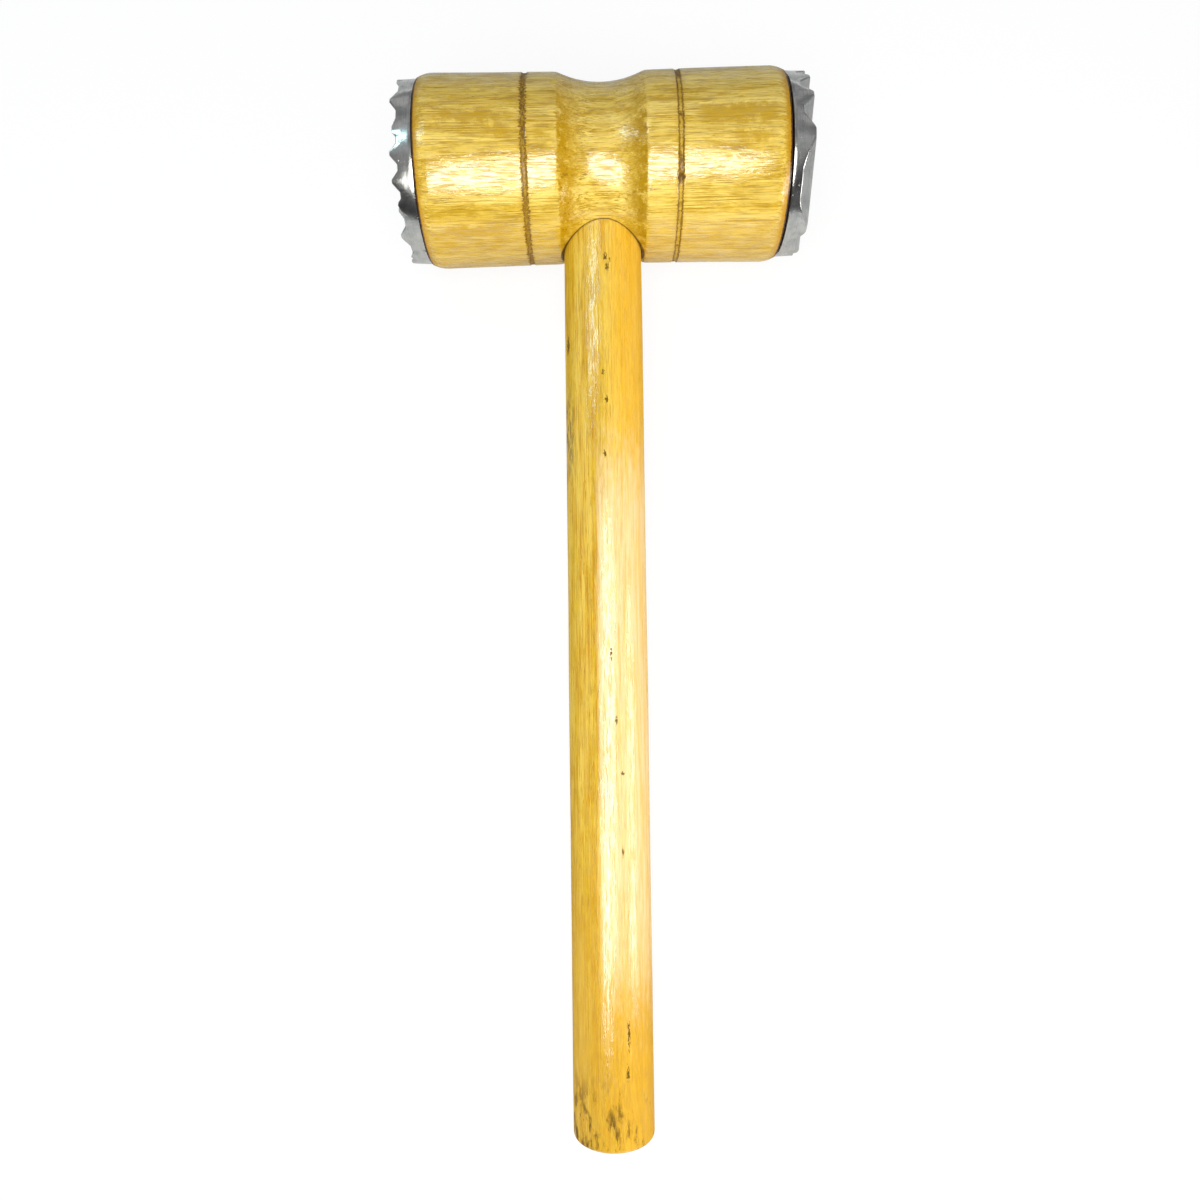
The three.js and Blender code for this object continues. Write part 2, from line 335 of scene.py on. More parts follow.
def varnished_wood(name, place, growth, colours, varnish, soiling_and_light):
    """Yellowed varnish on straight-grained beech: growth layers, fine grain, short dark flecks, and the
    dirt and painted light a piece is given.
    place has X along the grain. growth says where the tree's middle was, how thick its layers are, how
    dark their late wood is and how fine the grain is."""
    material, shader, spot = new_finish(name, place)
    axes = added(spot.id_data, "ShaderNodeSeparateXYZ", {0: spot}).outputs

    wander = times_plus(grained(spot, 0.02, 0.05), 5, -2.5)
    side = minus(axes[1], growth["heart"][0])
    depth = minus(axes[2], growth["heart"][1])
    from_heart = number("SQRT", times_plus(side, side, times(depth, depth)))
    layer = number("FRACT", number("DIVIDE", number("ADD", from_heart, wander), growth["layer"]))
    late_wood = times(remap(layer, 0.45, 0.97), remap(layer, 1.0, 0.97))

    bands = grained(spot, 0.014, 0.2, 3, 7, 0.55)
    patches = grained(spot, 0.15, 0.5, 5, 11, 0.7)
    fineness = 3.0 * growth["fine"]
    lines = grained(spot, 0.03, fineness, 3, 3, 0.65)
    hairlines = number("ABSOLUTE", minus(grained(spot, 0.05, 1.1, 2, 71), 0.5))
    dark_lines = larger(remap(lines, 0.52, 0.6), remap(hairlines, 0.016, 0.004))
    line_strength = remap(grained(spot, 0.05, 0.4, 3, 53), 0.38, 0.6, 0.2, 1)
    dark_flecks = remap(grained(spot, 0.13, 1.4 * fineness, 1, 19), 0.6, 0.69)
    colour = stained(colours["pale"], colours["gold"], remap(bands, 0.4, 0.6))
    browned = times(remap(patches, 0.44, 0.62), remap(bands, 0.38, 0.58, 0.25, 0.9))
    colour = stained(colour, colours["brown"], browned)
    colour = stained(colour, colours["line"], times(late_wood, growth["mark"]))
    colour = stained(colour, colours["pale"], remap(lines, 0.47, 0.36, 0, 0.6))
    colour = stained(colour, colours["line"], times(dark_lines, line_strength))
    colour = stained(colour, colours["fleck"], times(dark_flecks, 0.6))
    colour, bare = soiling_and_light(colour, spot, axes)

    peel = grained(spot, 0.6, 1.4, 3, 31, 0.6)
    pools = grained(spot, 0.1, 0.3, 3, 37)
    film = remap(grained(spot, 0.22, 2.2, 4, 67, 0.72), 0.42, 0.56, 1, varnish["thinnest"])
    dull = remap(pools, 0.4, 0.62, varnish["rough"], varnish["rough"] + 0.2)
    grain_height = times_plus(dark_flecks, -0.5, lines)
    varnish_height = times_plus(lines, varnish["lines"], times(peel, varnish["peel"]))
    look = {
        "Base Color": colour,
        "Roughness": times_plus(bare, 0.3, dull),
        "Specular IOR Level": 0.08,
        "Normal": bumped(grain_height, grain_relief),
        "Coat Weight": minus(film, times(film, bare)),
        "Coat Roughness": varnish["coat rough"],
        "Coat IOR": 2.3,
        "Coat Normal": bumped(varnish_height, varnish_relief),
    }
    fed(shader, look)
    return material


stain_and_shade_brown = (0.53, 0.31, 0.008, 1)
groove_brown = (0.34, 0.18, 0.01, 1)
groove_dirt = (0.11, 0.05, 0.006, 1)
groove_halo = (0.55, 0.31, 0.01, 1)
cove_orange = (0.46, 0.25, 0.002, 1)
cove_olive = (0.39, 0.22, 0.003, 1)
cove_specks = (0.26, 0.13, 0.004, 1)
shoulder_brown = (0.5, 0.25, 0.003, 1)
seam_and_joint_shade = (0.06, 0.025, 0.01, 1)
# Dark spots in the grooves: which end, angle round from the top towards the handle, size.
groove_spots = (
    (1, -40, 0.5),
    (1, -4, 0.9),
    (1, 16, 0.5),
    (1, 32, 1.3),
    (1, 79, 0.9),
    (-1, -19, 0.6),
    (-1, 34, 0.7),
)
# Browner streaks in the barrel: from and to along it, angle round from the top towards the handle, width.
brown_streaks = (
    (-47, -24, -5, 2.2),
    (-34, -22, 3, 3.0),
    (23, 49, -4, 4.6),
    (32, 47, 10, 2.0),
    (-46, -23, 62, 2.5),
    (-20, -13, 6, 3.5),
)


def barrel_soil_and_shade(colour, spot, axes):
    """Dirt in the grooves, painted shade at the seams, round the handle and on the side towards the
    handle, brown varnish in the cove and at the ends.
    """
    along = number("ABSOLUTE", axes[0])
    patches = grained(spot, 0.4, 0.4, 5, 41, 0.7)
    specks = grained(spot, 1.3, 1.3, 3, 47, 0.6)
    ragged = times_plus(patches, 9, -4.5)
    for start, stop, degrees, width in brown_streaks:
        angle = math.radians(degrees)
        beside = times_plus(axes[1], math.cos(angle), times(axes[2], math.sin(angle)))
        reach = number("ADD", number("ABSOLUTE", beside), ragged)
        inside = times(remap(reach, width / 2 + 1, width / 2 - 1), remap(axes[2], 0, 4))
        lengthwise = times(remap(axes[0], start, start + 5), remap(axes[0], stop, stop - 5))
        colour = stained(colour, stain_and_shade_brown, times(times(inside, lengthwise), 0.87))
    # Painted shade: the barrel's side towards the handle is darkened with the brown stain colour.
    colour = stained(colour, stain_and_shade_brown, remap(axes[1], -16, -25, 0, 0.45))

    in_cove = times(remap(along, 4.5, 10.5), remap(along, 12.2, 11.6))
    in_cove = times(in_cove, remap(axes[1], 17, -2, 0.25, 1))
    cove_brown = stained(cove_orange, cove_olive, remap(axes[0], -3, 3))
    cove_amount = times(in_cove, remap(patches, 0.38, 0.56, 0.35, 1))
    colour = stained(colour, cove_brown, cove_amount)
    speckled = times(remap(specks, 0.54, 0.66), remap(patches, 0.46, 0.6))
    colour = stained(colour, cove_specks, times(in_cove, speckled))
    stain_start = remap(axes[0], -10, 10, 47.7, 47.4)
    shoulder = remap(minus(times_plus(patches, 1.6, along), stain_start), 0.8, 2.8)
    colour = stained(colour, shoulder_brown, shoulder)

    crisp = remap(axes[0], -5, 5, 0, 1)
    torn = minus(grained(spot, 0.6, 1.7, 3, 59, 0.65), 0.5)
    from_groove = number("ABSOLUTE", minus(along, groove_place / mm))
    from_groove = times_plus(torn, remap(crisp, 0, 1, 3.2, 1.3), from_groove)
    in_groove = remap(from_groove, 1.05, 0.55)
    flank = remap(number("ABSOLUTE", minus(from_groove, 0.6)), 0.42, 0.1)
    packed = remap(grained(spot, 0.5, 0.17, 2, 61), 0.42, 0.6)
    grit = remap(grained(spot, 1.8, 1.3, 3, 23, 0.65), 0.42, 0.6, 1, 0.15)
    filled = larger(remap(crisp, 0, 1, 0.62, 0), packed)
    dark = larger(times(flank, 0.85), times(filled, grit))
    halo = times(remap(from_groove, 2.1, 0.7, 0, 0.5), remap(patches, 0.4, 0.56, 0.4, 1))
    colour = stained(colour, groove_halo, halo)
    colour = stained(colour, groove_brown, times(in_groove, remap(filled, 0, 1, 0.25, 0.9)))
    colour = stained(colour, groove_dirt, times(in_groove, times(dark, 0.85)))
    radius = barrel_end_radius / mm
    for end, degrees, size in groove_spots:
        angle = math.radians(degrees)
        middle = (end * groove_place / mm, -radius * math.sin(angle), radius * math.cos(angle))
        away = added(spot.id_data, "ShaderNodeVectorMath", {0: spot, 1: middle}, operation="DISTANCE")
        reach = times_plus(specks, 1.2, away.outputs["Value"])
        colour = stained(colour, groove_dirt, remap(reach, size + 0.6, size + 0.2, 0, 0.9))

    # Painted shadow: the last fraction of a millimetre at each end is darkened where the gap to the cast
    # face falls in shade.
    seam = times_plus(specks, 0.5, minus(along, 0.25))
    colour = stained(colour, seam_and_joint_shade, remap(seam, 49.4, 49.75))
    # Painted shade: a thin dark line round the handle where it enters the barrel, wider at the lower
    # corners.
    off_handle = times_plus(axes[1], -math.sin(lean), axes[0])
    off_handle = number("SQRT", times_plus(off_handle, off_handle, number("POWER", axes[2], 2)))
    off_handle = minus(off_handle, remap(axes[2], 12, 2, 0, 0.55))
    handle_joint_shade = times(remap(off_handle, 11.6, 11.25), remap(axes[1], 2, -2))
    colour = stained(colour, seam_and_joint_shade, times(handle_joint_shade, 0.85))
    in_stain = larger(times(cove_amount, 0.85), times(shoulder, 0.5))
    return colour, larger(times(in_groove, 0.75), in_stain)


barrel_wood = varnished_wood(
    "barrel_wood",
    laid,
    {"heart": (32.4, -50.4), "layer": 2.15, "mark": 0.4, "fine": 1},
    {
        "pale": (0.9, 0.67, 0.16, 1),
        "gold": (0.77, 0.53, 0.075, 1),
        "brown": stain_and_shade_brown,
        "line": (0.46, 0.27, 0.008, 1),
        "fleck": (0.27, 0.14, 0.008, 1),
    },
    {"lines": 0.14, "peel": 0.38, "rough": 0.35, "thinnest": 0.2, "coat rough": 0.05},
    barrel_soil_and_shade,
)
barrel.data.materials.clear()
barrel.data.materials.append(barrel_wood)
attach(barrel, "root")
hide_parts("head")


# Handle: a straight 22 mm beech dowel through the barrel's bore, its end sanded flush with the cove and
# split by a saw kerf for the wedge. The far end is sawn square with a small rounded edge and is soiled.
# One side carries a painted sheen and a warmer painted light, the other is scuffed, and dark nicks lie
# along the top.
handle_radius = 11 * mm
handle_reach = 269.5 * mm
handle_end_rounding = 1.6 * mm
handle_sides = 176
fit_gap = 0.3 * mm
wedge_depth = 16 * mm
wedge_thick_end = 3 * mm
wedge_thin_end = 0.8 * mm
kerf_run = 2.5 * mm
proud = 1 * mm
dowel_step = 1.4 * mm


def handle_point(y, turn):
    """A point of the dowel's skin, with the slight flats and dents of sanding and use."""
    way = Vector((math.sin(turn), 0, math.cos(turn)))
    place = Vector((0, y, 0)) / mm + way * handle_radius / mm
    past = -handle_reach + handle_end_rounding - y
    radius = handle_radius
    if past > 0:
        radius += math.sqrt(max(handle_end_rounding**2 - past**2, 0)) - handle_end_rounding
    worn = 0.1 * mm * noise.noise(Vector((place.x * 0.1, place.y * 0.03, place.z * 0.1)))
    fibre = 0.015 * mm * noise.noise(Vector((place.x * 1.2, place.y * 0.05, place.z * 1.2)))
    nick = noise.noise(place * 0.3 + Vector((9, 0, 0))) - 0.55
    return Vector((0, y, 0)) + way * (radius + worn + fibre - 0.4 * mm * max(nick, 0))


def wedge_blank(name, gap, run, width):
    """The wedge, or with a gap and a run the kerf that it fills, along the handle's own axes."""
    thin_at = waist_radius - wedge_depth
    taper = (wedge_thick_end - wedge_thin_end) / wedge_depth
    rings = []
    for y in (thin_at - run, barrel_end_radius + proud):
        half = (wedge_thin_end + taper * (y - thin_at)) / 2 + gap
        corners = ((-half, -width / 2), (half, -width / 2), (half, width / 2), (-half, width / 2))
        rings.append([Vector((x, y, z)) for x, z in corners])
    rings.insert(0, [Vector((0, rings[0][0].y, 0))])
    rings.append([Vector((0, rings[-1][0].y, 0))])
    return skin(name, rings)


def sanded_off(name):
    """What stands proud of the barrel above its waist, in the handle's leaning frame."""
    block = rod(name, cutter_reach, 0, cutter_reach, sides=8)
    inside = turned_barrel("inside_barrel")
    inside.data.transform(Matrix.Rotation(lean, 4, "Z"))
    return carved(block, inside)


turns = [2 * math.pi * index / handle_sides for index in range(handle_sides)]
dowel_rings = []
for y in stations(-handle_reach + handle_end_rounding, barrel_end_radius + proud, dowel_step):
    dowel_rings.append([handle_point(y, turn) for turn in turns])
for step in range(1, 7):
    angle = math.pi / 2 * step / 6
    y = -handle_reach + handle_end_rounding * (1 - math.sin(angle))
    dowel_rings.insert(0, [handle_point(y, turn) for turn in turns])
outer = dowel_rings[0]
for share in (0.93, 0.7, 0.4):
    dowel_rings.insert(0, [Vector((p.x * share, -handle_reach, p.z * share)) for p in outer])
dowel_rings.insert(0, [Vector((0, -handle_reach, 0))])
dowel_rings.append([Vector((0, barrel_end_radius + proud, 0))])
handle = skin("dowel_handle", dowel_rings)
kerf = wedge_blank("kerf", fit_gap, kerf_run, 3 * handle_radius)
carved(handle, kerf, sanded_off("sanded_off_handle"))
finished(handle, laid_leaning)

handle_dirt = (0.1, 0.05, 0.005, 1)
lit_side_orange = (0.95, 0.5, 0.03, 1)
scuff_brown = (0.2, 0.13, 0.04, 1)
far_end_brown = (0.64, 0.34, 0.02, 1)
painted_sheen_cream = (0.93, 0.7, 0.37, 1)
# Dark nicks in the varnish: distance from the barrel's middle, angle round from the top, length, width.
nicks = (
    (30.0, 3, 2.4, 0.9),
    (32.8, 5, 2.0, 1.2),
    (31.0, 9, 1.4, 0.5),
    (62.2, -2, 1.5, 0.7),
    (69.6, 2, 1.7, 1.1),
    (84.6, -1, 1.7, 0.8),
    (138.9, 4, 3.2, 0.6),
    (156.9, 10, 2.8, 0.5),
    (170.9, 18, 1.0, 1.0),
    (191.5, 17, 2.4, 0.5),
    (53.0, -66, 4.2, 0.9),
    (239.0, 22, 7.0, 0.7),
    (249.0, 20, 3.5, 0.7),
)


def handle_soil_and_light(colour, spot, axes):
    """Grime at the far end, a painted sheen and a warmer painted light on one side, scuffs on the other,
    browning towards the far end and small dark nicks.
    """
    along = times(axes[0], -1)
    patches = grained(spot, 0.22, 0.8, 5, 43, 0.65)
    fibres = grained(spot, 0.05, 1.6, 4, 83, 0.65)
    blots = grained(spot, 0.09, 0.24, 5, 97, 0.7)
    blots = number("ADD", blots, remap(axes[1], 5, -7, -0.05, 0.07))
    near_end = remap(along, handle_reach / mm - 24, handle_reach / mm - 6)
    grime = times(remap(patches, 0.42, 0.56, 0.15, 0.9), remap(blots, 0.49, 0.6))
    grime = times(grime, near_end)
    at_scuff = times(remap(along, 62, 71), remap(along, 94, 84))
    at_scuff = times(at_scuff, remap(axes[1], -7.5, -10))
    scuff = times(at_scuff, remap(patches, 0.46, 0.58, 0, 0.8))
    # Painted light: the side that faces the side lamp is tinted a warmer, brighter orange.
    colour = stained(colour, lit_side_orange, remap(axes[1], -2, 6, 0, 0.6))
    # Browner towards the far end.
    toward_far_end = remap(along, 150, 258, 0, 0.75)
    colour = stained(colour, far_end_brown, times(toward_far_end, remap(patches, 0.3, 0.6, 0.6, 1)))

    # Painted sheen: a pale cream band, ragged along the grain, on the side that faces the lamps stands in
    # for the varnish's reflection.
    beside = number("ADD", times_plus(fibres, 3, -1.5), axes[1])
    wandering = times_plus(patches, 40, along)
    painted_sheen_mask = times(remap(beside, -3.4, -2), remap(axes[2], 4, -2))
    painted_sheen_mask = times(painted_sheen_mask, times(remap(wandering, 92, 122), remap(wandering, 264, 229)))
    colour = stained(colour, painted_sheen_cream, times(painted_sheen_mask, remap(fibres, 0.62, 0.42, 0.35, 0.85)))
    colour = stained(colour, scuff_brown, scuff)
    colour = stained(colour, handle_dirt, grime)

    ragged = times_plus(grained(spot, 1.4, 3.2, 3, 89, 0.65), 9, -4.3)
    upper = remap(axes[2], 0, -1)
    nicked = 0.0
    for distance, degrees, length, width in nicks:
        side = handle_radius / mm * math.sin(math.radians(degrees))
        off_along = number("DIVIDE", minus(along, distance), length / 2)
        off_side = number("DIVIDE", minus(axes[1], side), width / 2)
        off = number("ADD", number("POWER", off_along, 2), number("POWER", off_side, 2))
        nicked = larger(times(remap(number("ADD", off, ragged), 1.3, 0.5), upper), nicked)
    colour = stained(colour, handle_dirt, times(nicked, 0.92))
    off_middle = remap(number("ABSOLUTE", axes[1]), 4.5, 10, 0.25, 0.85)
    return colour, larger(off_middle, larger(larger(scuff, grime), nicked))


# The handle's grain runs along Y of its leaning frame, so the pattern's X is turned onto Y.
handle_grain = laid_leaning @ Matrix(((0, 1, 0, 0), (1, 0, 0, 0), (0, 0, -1, 0), (0, 0, 0, 1)))
handle_wood = varnished_wood(
    "handle_wood",
    handle_grain,
    {"heart": (70, 25), "layer": 3.1, "mark": 0.3, "fine": 1.15},
    {
        "pale": (0.83, 0.58, 0.09, 1),
        "gold": (0.7, 0.45, 0.028, 1),
        "brown": (0.58, 0.34, 0.008, 1),
        "line": (0.58, 0.27, 0.006, 1),
        "fleck": (0.42, 0.19, 0.006, 1),
    },
    {"lines": 0.25, "peel": 0.35, "rough": 0.35, "thinnest": 0.1, "coat rough": 0.08},
    handle_soil_and_light,
)
handle.data.materials.clear()
handle.data.materials.append(handle_wood)
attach(handle, "root")
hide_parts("handle")


# Wedge: a thin slip of darker hardwood driven into the kerf and sanded flush with the handle's end.
wedge = wedge_blank("handle_wedge_slip", 0, 0, 2 * (handle_radius - fit_gap))
carved(wedge, sanded_off("sanded_off_wedge"))
finished(wedge, laid_leaning)


def leave_clean(colour, spot, axes):
    """Bare wood: no soiling, and next to no varnish."""
    return colour, 0.8


wedge_wood = varnished_wood(
    "wedge_wood",
    handle_grain,
    {"heart": (-25, 30), "layer": 1.3, "mark": 0.5, "fine": 1},
    {
        "pale": (0.58, 0.38, 0.15, 1),
        "gold": (0.5, 0.31, 0.11, 1),
        "brown": (0.36, 0.21, 0.06, 1),
        "line": (0.3, 0.16, 0.045, 1),
        "fleck": (0.14, 0.07, 0.02, 1),
    },
    {"lines": 0.6, "peel": 0.2, "rough": 0.4, "thinnest": 0.5, "coat rough": 0.2},
    leave_clean,
)
wedge.data.materials.clear()
wedge.data.materials.append(wedge_wood)
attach(wedge, "root")
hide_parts("handle_wedge")


# Cast faces: two thick discs of polished cast aluminium with their teeth cast in one piece with them.
# The fine one has blunt square pyramids, the coarse one blunt ridges right across it. Each tapers a
# little towards its front and has a bare land in the middle with a countersunk hole for its screw.
cap_radius = 24.25 * mm
cap_edge = 0.4 * mm
cap_draft = math.radians(3)
cap_crease_degrees = 24
coarse_seam = 0.4 * mm
fine_seam = 0.22 * mm
cast_relief = 0.05 * mm
land_radius = 5 * mm
screw_sunk = 0.2 * mm
screw_head_radius = 3.5 * mm
screw_head_edge = 0.25 * mm
screw_shank_radius = 1.75 * mm
seat_gap = fit_gap * math.sqrt(2)


def tooth_lines(pitch, base, flat, offset):
    """Places of grid lines across the teeth, close together at each edge of a tooth."""
    close = 0.13 * mm
    within = [0, flat / 2 - close, flat / 2, flat / 2 + close]
    for share in (0.33, 0.67):
        within.append(flat / 2 + share * (base - flat) / 2)
    within += [base / 2 - close, base / 2, base / 2 + close, pitch / 2]
    lines = set()
    count = math.ceil(cap_radius / pitch) + 1
    for row in range(-count, count + 1):
        for place in within:
            for side in (-1, 1):
                lines.add(round((offset + row * pitch + side * place) / mm, 4) * mm)
    return sorted(line for line in lines if abs(line) < cap_radius + 1 * mm)


def cap_blank(name, thickness, foot, turn, lines_across, lines_along):
    """A plain disc, its back at z = 0 with a rounded foot and its front gridded in line with the teeth to
    come. Its rim has a casting's draft. Where its attribute front is 1, the teeth may lift it."""
    shape = bmesh.new()
    front = shape.verts.layers.float.new("front")
    hole = screw_head_radius + seat_gap + cap_edge
    draft = thickness * math.tan(cap_draft)
    rim = cap_radius - draft - cap_edge
    near = 0.25 * mm
    spin = Matrix.Rotation(turn, 3, "Z")
    grid = {}
    for i, a in enumerate(lines_across):
        for j, b in enumerate(lines_along):
            if hole - near <= math.hypot(a, b) <= rim + near:
                grid[i, j] = shape.verts.new(spin @ Vector((a, b, thickness)))
    for i in range(len(lines_across) - 1):
        for j in range(len(lines_along) - 1):
            corners = [grid.get(key) for key in ((i, j), (i + 1, j), (i + 1, j + 1), (i, j + 1))]
            if all(corners):
                shape.faces.new(corners)
    bmesh.ops.delete(shape, geom=[v for v in shape.verts if not v.link_faces], context="VERTS")
    loops = {"rim": [], "hole": []}
    for vertex in shape.verts:
        vertex[front] = 1
        if vertex.is_boundary:
            flat = vertex.co.to_2d()
            which = "rim" if flat.length > (rim + hole) / 2 else "hole"
            loops[which].append(vertex)
            flat = flat.normalized() * (rim if which == "rim" else hole)
            vertex.co.x, vertex.co.y = flat

    def wall(loop, profile):
        """Skins down from a loop through (radius, height, front) rings and returns the last ring."""
        loop = sorted(loop, key=lambda vertex: math.atan2(vertex.co.y, vertex.co.x))
        for radius, height, lifts in profile:
            ring = []
            for vertex in loop:
                flat = vertex.co.to_2d().normalized() * radius
                lower = shape.verts.new((flat.x, flat.y, height))
                lower[front] = lifts
                ring.append(lower)
            for index, vertex in enumerate(loop):
                beside = (index + 1) % len(loop)
                shape.faces.new((vertex, loop[beside], ring[beside], ring[index]))
            loop = ring
        return loop

    rim_profile = []
    hole_profile = []
    for step in range(1, 5):
        angle = math.pi / 2 * step / 4
        out = cap_edge * math.sin(angle)
        height = thickness - cap_edge * (1 - math.cos(angle))
        rim_profile.append((rim + out, height, 1))
        hole_profile.append((hole - out, height, 0))
    for share in (0.6, 0.3, 0.0):
        rim_profile.append((cap_radius - share * draft, foot + share * (thickness - cap_edge - foot), 0))
    for step in range(1, 4):
        angle = math.pi / 2 * step / 3
        rim_profile.append((cap_radius - foot * (1 - math.cos(angle)), foot * (1 - math.sin(angle)), 0))
    seat = screw_head_radius + seat_gap
    shank = screw_shank_radius + fit_gap
    seat_floor = thickness - screw_sunk - screw_head_edge
    hole_profile[-1] = (seat, seat_floor, 0)
    hole_profile += [(shank, seat_floor - (seat - shank), 0), (shank, 0, 0)]
    back = []
    for loop in (wall(loops["rim"], rim_profile), wall(loops["hole"], hole_profile)):
        for index, vertex in enumerate(loop):
            back.append(shape.edges.get((vertex, loop[(index + 1) % len(loop)])))
    bmesh.ops.triangle_fill(shape, use_beauty=True, use_dissolve=False, edges=back, normal=(0, 0, -1))
    bmesh.ops.recalc_face_normals(shape, faces=shape.faces)
    mesh = bpy.data.meshes.new(name)
    shape.to_mesh(mesh)
    shape.free()
    cap = bpy.data.objects.new(name, mesh)
    bpy.context.scene.collection.objects.link(cap)
    return cap


def polished_casting():
    """Cast aluminium with turning marks round its rim, small pits and a dull film in places."""
    material, shader, spot = new_finish("cast_metal", laid)
    film = remap(grained(spot, 0.3, 0.3, 4, 5, 0.6), 0.4, 0.66)
    turning = grained(spot, 4.5, 0.16, 3, 29, 0.6)
    speck = grained(spot, 1.6, 1.6, 3, 9, 0.6)
    pits = remap(grained(spot, 0.9, 0.9, 1, 13), 0.71, 0.76)
    bright_grey = (0.62, 0.62, 0.6, 1)
    film_grey = (0.48, 0.49, 0.48, 1)
    turned_grey = (0.36, 0.37, 0.37, 1)
    pit_grey = (0.12, 0.12, 0.12, 1)
    colour = stained(bright_grey, film_grey, film)
    colour = stained(colour, turned_grey, remap(turning, 0.5, 0.66, 0, 0.5))
    colour = stained(colour, pit_grey, times(pits, 0.7))
    gloss = times_plus(turning, 0.12, times_plus(film, 0.08, 0.08))
    height = times_plus(turning, 0.13, times_plus(speck, 0.25, times(pits, -0.6)))
    look = {
        "Metallic": 1,
        "Base Color": colour,
        "Roughness": times_plus(pits, 0.3, gloss),
        "Normal": bumped(height, cast_relief),
    }
    fed(shader, look)
    return material


def new_tree(name, sizes, finish):
    """A geometry tree that takes a mesh, named sizes and a finish, and the outputs that hold them."""
    tree = bpy.data.node_groups.new(name, "GeometryNodeTree")
    tree.interface.new_socket("Geometry", in_out="INPUT", socket_type="NodeSocketGeometry")
    for size in sizes:
        tree.interface.new_socket(size, in_out="INPUT", socket_type="NodeSocketFloat")
    tree.interface.new_socket(finish, in_out="INPUT", socket_type="NodeSocketMaterial")
    tree.interface.new_socket("Geometry", in_out="OUTPUT", socket_type="NodeSocketGeometry")
    return tree, tree.nodes.new("NodeGroupInput").outputs


def end_tree(tree, geometry, material):
    """Ends a tree in plain geometry with its finish on."""
    real = added(tree, "GeometryNodeRealizeInstances", {0: geometry}).outputs[0]
    dressed = added(tree, "GeometryNodeSetMaterial", {"Geometry": real, "Material": material})
    added(tree, "NodeGroupOutput", {0: dressed.outputs[0]})
    return tree


def tooth_tree():
    """Lifts a gridded front into rows of blunt teeth: pyramids where rows run both ways, else ridges."""
    sizes = ["Pitch", "Base", "Flat", "Height", "Turn", "Offset across", "Offset along", "Both ways"]
    tree, given = new_tree("cast_teeth", sizes + ["Softness", "Land radius", "Waviness"], "Metal")
    height = given["Height"]
    softness = given["Softness"]
    position = tree.nodes.new("GeometryNodeInputPosition").outputs[0]
    x, y = added(tree, "ShaderNodeSeparateXYZ", {0: position}).outputs[:2]
    cosine = number("COSINE", given["Turn"])
    sine = number("SINE", given["Turn"])
    across = times_plus(x, cosine, times(y, sine))
    along = minus(times(y, cosine), times(x, sine))
    half_pitch = times(given["Pitch"], 0.5)
    off_across = number("PINGPONG", minus(across, given["Offset across"]), half_pitch)
    off_along = number("PINGPONG", minus(along, given["Offset along"]), half_pitch)
    off = number("SMOOTH_MAX", off_across, times(off_along, given["Both ways"]), softness)
    run = times(minus(given["Base"], given["Flat"]), 0.5)
    inwards = minus(times(given["Base"], 0.5), off)
    lift = times(number("DIVIDE", inwards, run), height)
    lift = number("SMOOTH_MAX", lift, 0.0, softness)
    lift = number("SMOOTH_MIN", lift, height, softness)
    from_middle = number("SQRT", number("ADD", number("POWER", x, 2.0), number("POWER", y, 2.0)))
    past_land = number("DIVIDE", minus(from_middle, given["Land radius"]), height)
    clear = number("MINIMUM", larger(past_land, 0.0), 1.0)
    lift = number("SMOOTH_MIN", lift, times(clear, height), softness)
    front = added(tree, "GeometryNodeInputNamedAttribute", {"Name": "front"}, data_type="FLOAT")
    lift = times(lift, front.outputs["Attribute"])
    upwards = added(tree, "ShaderNodeCombineXYZ", {"Z": lift}).outputs[0]
    raised = {"Geometry": given["Geometry"], "Offset": upwards}
    raised = added(tree, "GeometryNodeSetPosition", raised).outputs[0]
    waves = added(tree, "ShaderNodeTexNoise", {"Scale": 260, "Detail": 1}).outputs["Color"]
    centred = {0: waves, 1: (0.5, 0.5, 0.5)}
    centred = added(tree, "ShaderNodeVectorMath", centred, operation="SUBTRACT").outputs[0]
    small = {0: centred, "Scale": given["Waviness"]}
    small = added(tree, "ShaderNodeVectorMath", small, operation="SCALE").outputs[0]
    wavy = added(tree, "GeometryNodeSetPosition", {"Geometry": raised, "Offset": small}).outputs[0]
    return end_tree(tree, wavy, given["Metal"])


def shaped(piece, tree, values):
    """Runs a node tree on a piece with the given inputs and leaves its plain mesh."""
    modifier = piece.modifiers.new("shape", "NODES")
    modifier.node_group = tree
    for item in tree.interface.items_tree:
        if item.in_out == "INPUT" and item.name in values:
            modifier[item.identifier] = values[item.name]
    bpy.context.view_layer.update()
    solidified(piece)


cast_metal = polished_casting()
cast_teeth = tooth_tree()
teeth_alike = {
    "Softness": 0.16 * mm,
    "Land radius": land_radius,
    "Waviness": 0.07 * mm,
    "Metal": cast_metal,
}

pyramid_pitch = 6.7 * mm
pyramid_base = 5.2 * mm
pyramid_flat = 0.85 * mm
pyramid_height = 1.85 * mm
pyramid_turn = math.radians(-23.4)
fine_thickness = 4.3 * mm - fine_seam
fine_foot = 0.1 * mm
lines = tooth_lines(pyramid_pitch, pyramid_base, pyramid_flat, pyramid_pitch / 2)
fine_cap = cap_blank("fine_toothed_face", fine_thickness, fine_foot, pyramid_turn, lines, lines)
pyramids = {
    "Pitch": pyramid_pitch,
    "Base": pyramid_base,
    "Flat": pyramid_flat,
    "Height": pyramid_height,
    "Turn": pyramid_turn,
    "Offset across": pyramid_pitch / 2,
    "Offset along": pyramid_pitch / 2,
    "Both ways": 1.0,
}
shaped(fine_cap, cast_teeth, teeth_alike | pyramids)

